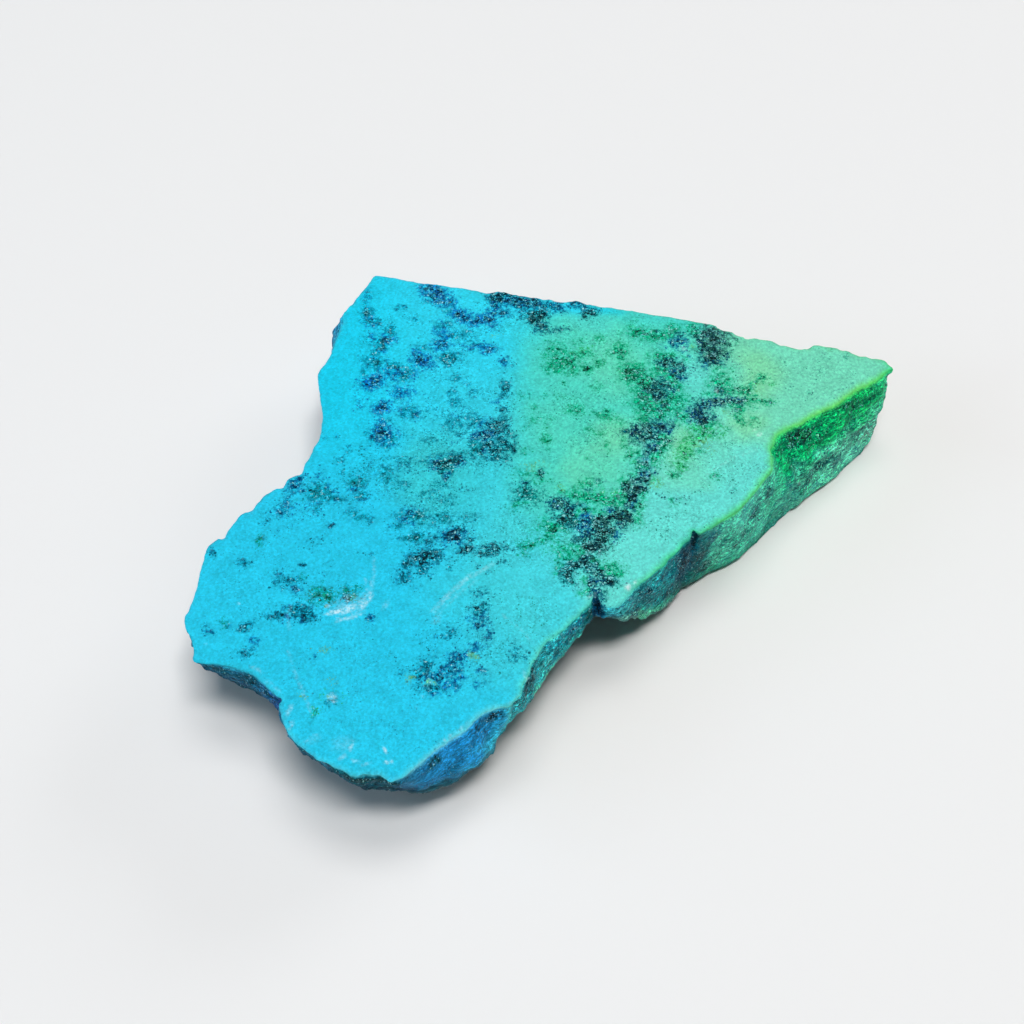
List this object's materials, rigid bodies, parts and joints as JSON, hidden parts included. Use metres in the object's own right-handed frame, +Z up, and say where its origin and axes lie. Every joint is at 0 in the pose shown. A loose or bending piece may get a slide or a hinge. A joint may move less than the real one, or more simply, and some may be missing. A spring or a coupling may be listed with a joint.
{
  "type": "rough turquoise slab",
  "caption": "Flat-sawn slab of rough turquoise, irregular in outline, with a broken underside; lies sawn face up as a mineral specimen.",
  "frame": {"origin": "middle of the bounding box at ground level, under the stone's resting face", "axes": "+X along the longest extent towards the pointed tip, +Y towards the straight back edge, +Z up out of the sawn face"},
  "size_m": [0.0777, 0.0691, 0.012],
  "materials": {
    "turquoise": "matte sawn stone"
  },
  "bodies": {
    "root": {"turquoise_slab": "turquoise"}
  },
  "joints": []
}
